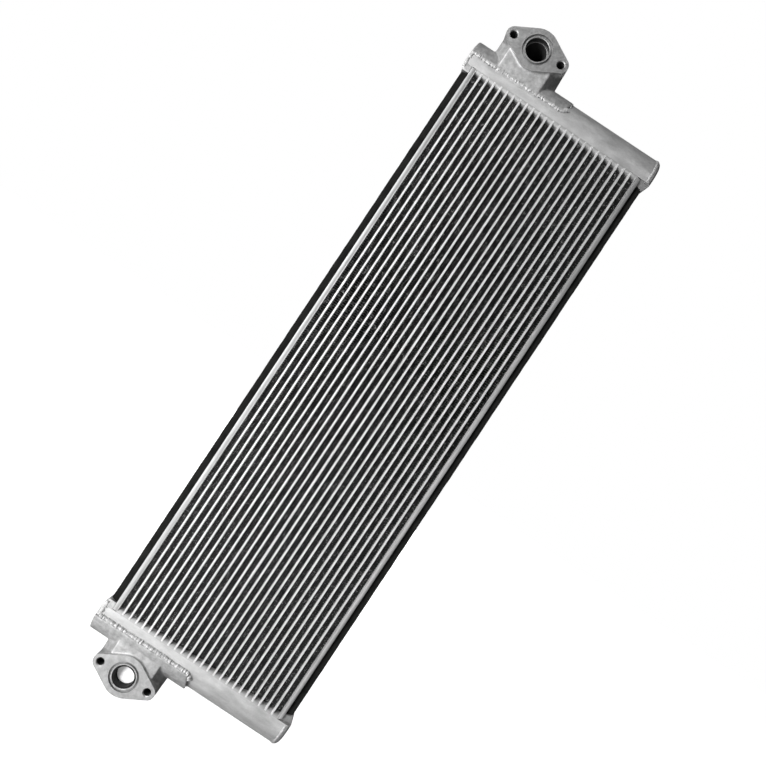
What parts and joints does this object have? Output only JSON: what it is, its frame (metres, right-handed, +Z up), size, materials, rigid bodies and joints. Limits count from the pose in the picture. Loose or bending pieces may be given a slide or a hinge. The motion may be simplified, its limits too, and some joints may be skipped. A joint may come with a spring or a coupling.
{
  "type": "hydraulic oil cooler",
  "caption": "Tall bar-and-plate aluminium oil cooler: finned core between two round tanks, each with a two-bolt port block on its left, foam strips down both sides.",
  "frame": {"origin": "centre of the overall box: mid depth of the core, midway between the two side plates and between the two tanks", "axes": "+X across the core to the right, -Y out of the front that the ports face, +Z up along the oil tubes to the upper tank"},
  "size_m": [0.304, 0.088, 1.066],
  "materials": {
    "tube_aluminium": "brazed aluminium, brushed bright along the edges",
    "fin_aluminium": "thin folded aluminium foil, dull from the brazing oven",
    "plate_aluminium": "mill-finish aluminium bar",
    "tank_aluminium": "bead-blasted aluminium",
    "cast_aluminium": "bead-blasted cast aluminium with machined port faces",
    "black_foam": "matt black closed-cell rubber foam",
    "plug_plastic": "white polyethylene core in a black rubber sleeve"
  },
  "bodies": {
    "cooler": {"oil_tube_01": "tube_aluminium", "oil_tube_02": "tube_aluminium", "oil_tube_03": "tube_aluminium", "oil_tube_04": "tube_aluminium", "oil_tube_05": "tube_aluminium", "oil_tube_06": "tube_aluminium", "oil_tube_07": "tube_aluminium", "oil_tube_08": "tube_aluminium", "oil_tube_09": "tube_aluminium", "oil_tube_10": "tube_aluminium", "oil_tube_11": "tube_aluminium", "oil_tube_12": "tube_aluminium", "oil_tube_13": "tube_aluminium", "oil_tube_14": "tube_aluminium", "oil_tube_15": "tube_aluminium", "oil_tube_16": "tube_aluminium", "oil_tube_17": "tube_aluminium", "oil_tube_18": "tube_aluminium", "oil_tube_19": "tube_aluminium", "oil_tube_20": "tube_aluminium", "oil_tube_21": "tube_aluminium", "oil_tube_22": "tube_aluminium", "oil_tube_23": "tube_aluminium", "oil_tube_24": "tube_aluminium", "air_fin_01": "fin_aluminium", "air_fin_02": "fin_aluminium", "air_fin_03": "fin_aluminium", "air_fin_04": "fin_aluminium", "air_fin_05": "fin_aluminium", "air_fin_06": "fin_aluminium", "air_fin_07": "fin_aluminium", "air_fin_08": "fin_aluminium", "air_fin_09": "fin_aluminium", "air_fin_10": "fin_aluminium", "air_fin_11": "fin_aluminium", "air_fin_12": "fin_aluminium", "air_fin_13": "fin_aluminium", "air_fin_14": "fin_aluminium", "air_fin_15": "fin_aluminium", "air_fin_16": "fin_aluminium", "air_fin_17": "fin_aluminium", "air_fin_18": "fin_aluminium", "air_fin_19": "fin_aluminium", "air_fin_20": "fin_aluminium", "air_fin_21": "fin_aluminium", "air_fin_22": "fin_aluminium", "air_fin_23": "fin_aluminium", "air_fin_24": "fin_aluminium", "air_fin_25": "fin_aluminium", "left_side_plate": "plate_aluminium", "left_side_seal": "black_foam", "right_side_plate": "plate_aluminium", "right_side_seal": "black_foam", "upper_tank": "tank_aluminium", "upper_end_cap": "tank_aluminium", "upper_port_block": "cast_aluminium", "lower_tank": "tank_aluminium", "lower_end_cap": "tank_aluminium", "lower_port_block": "cast_aluminium"},
    "port_plug": {"lower_port_plug": "plug_plastic"}
  },
  "joints": [
    {"name": "port_plug_pull", "type": "slide", "parent": "cooler", "child": "port_plug", "axis": [0, -1, 0], "range_m": [0, 0.025]}
  ]
}
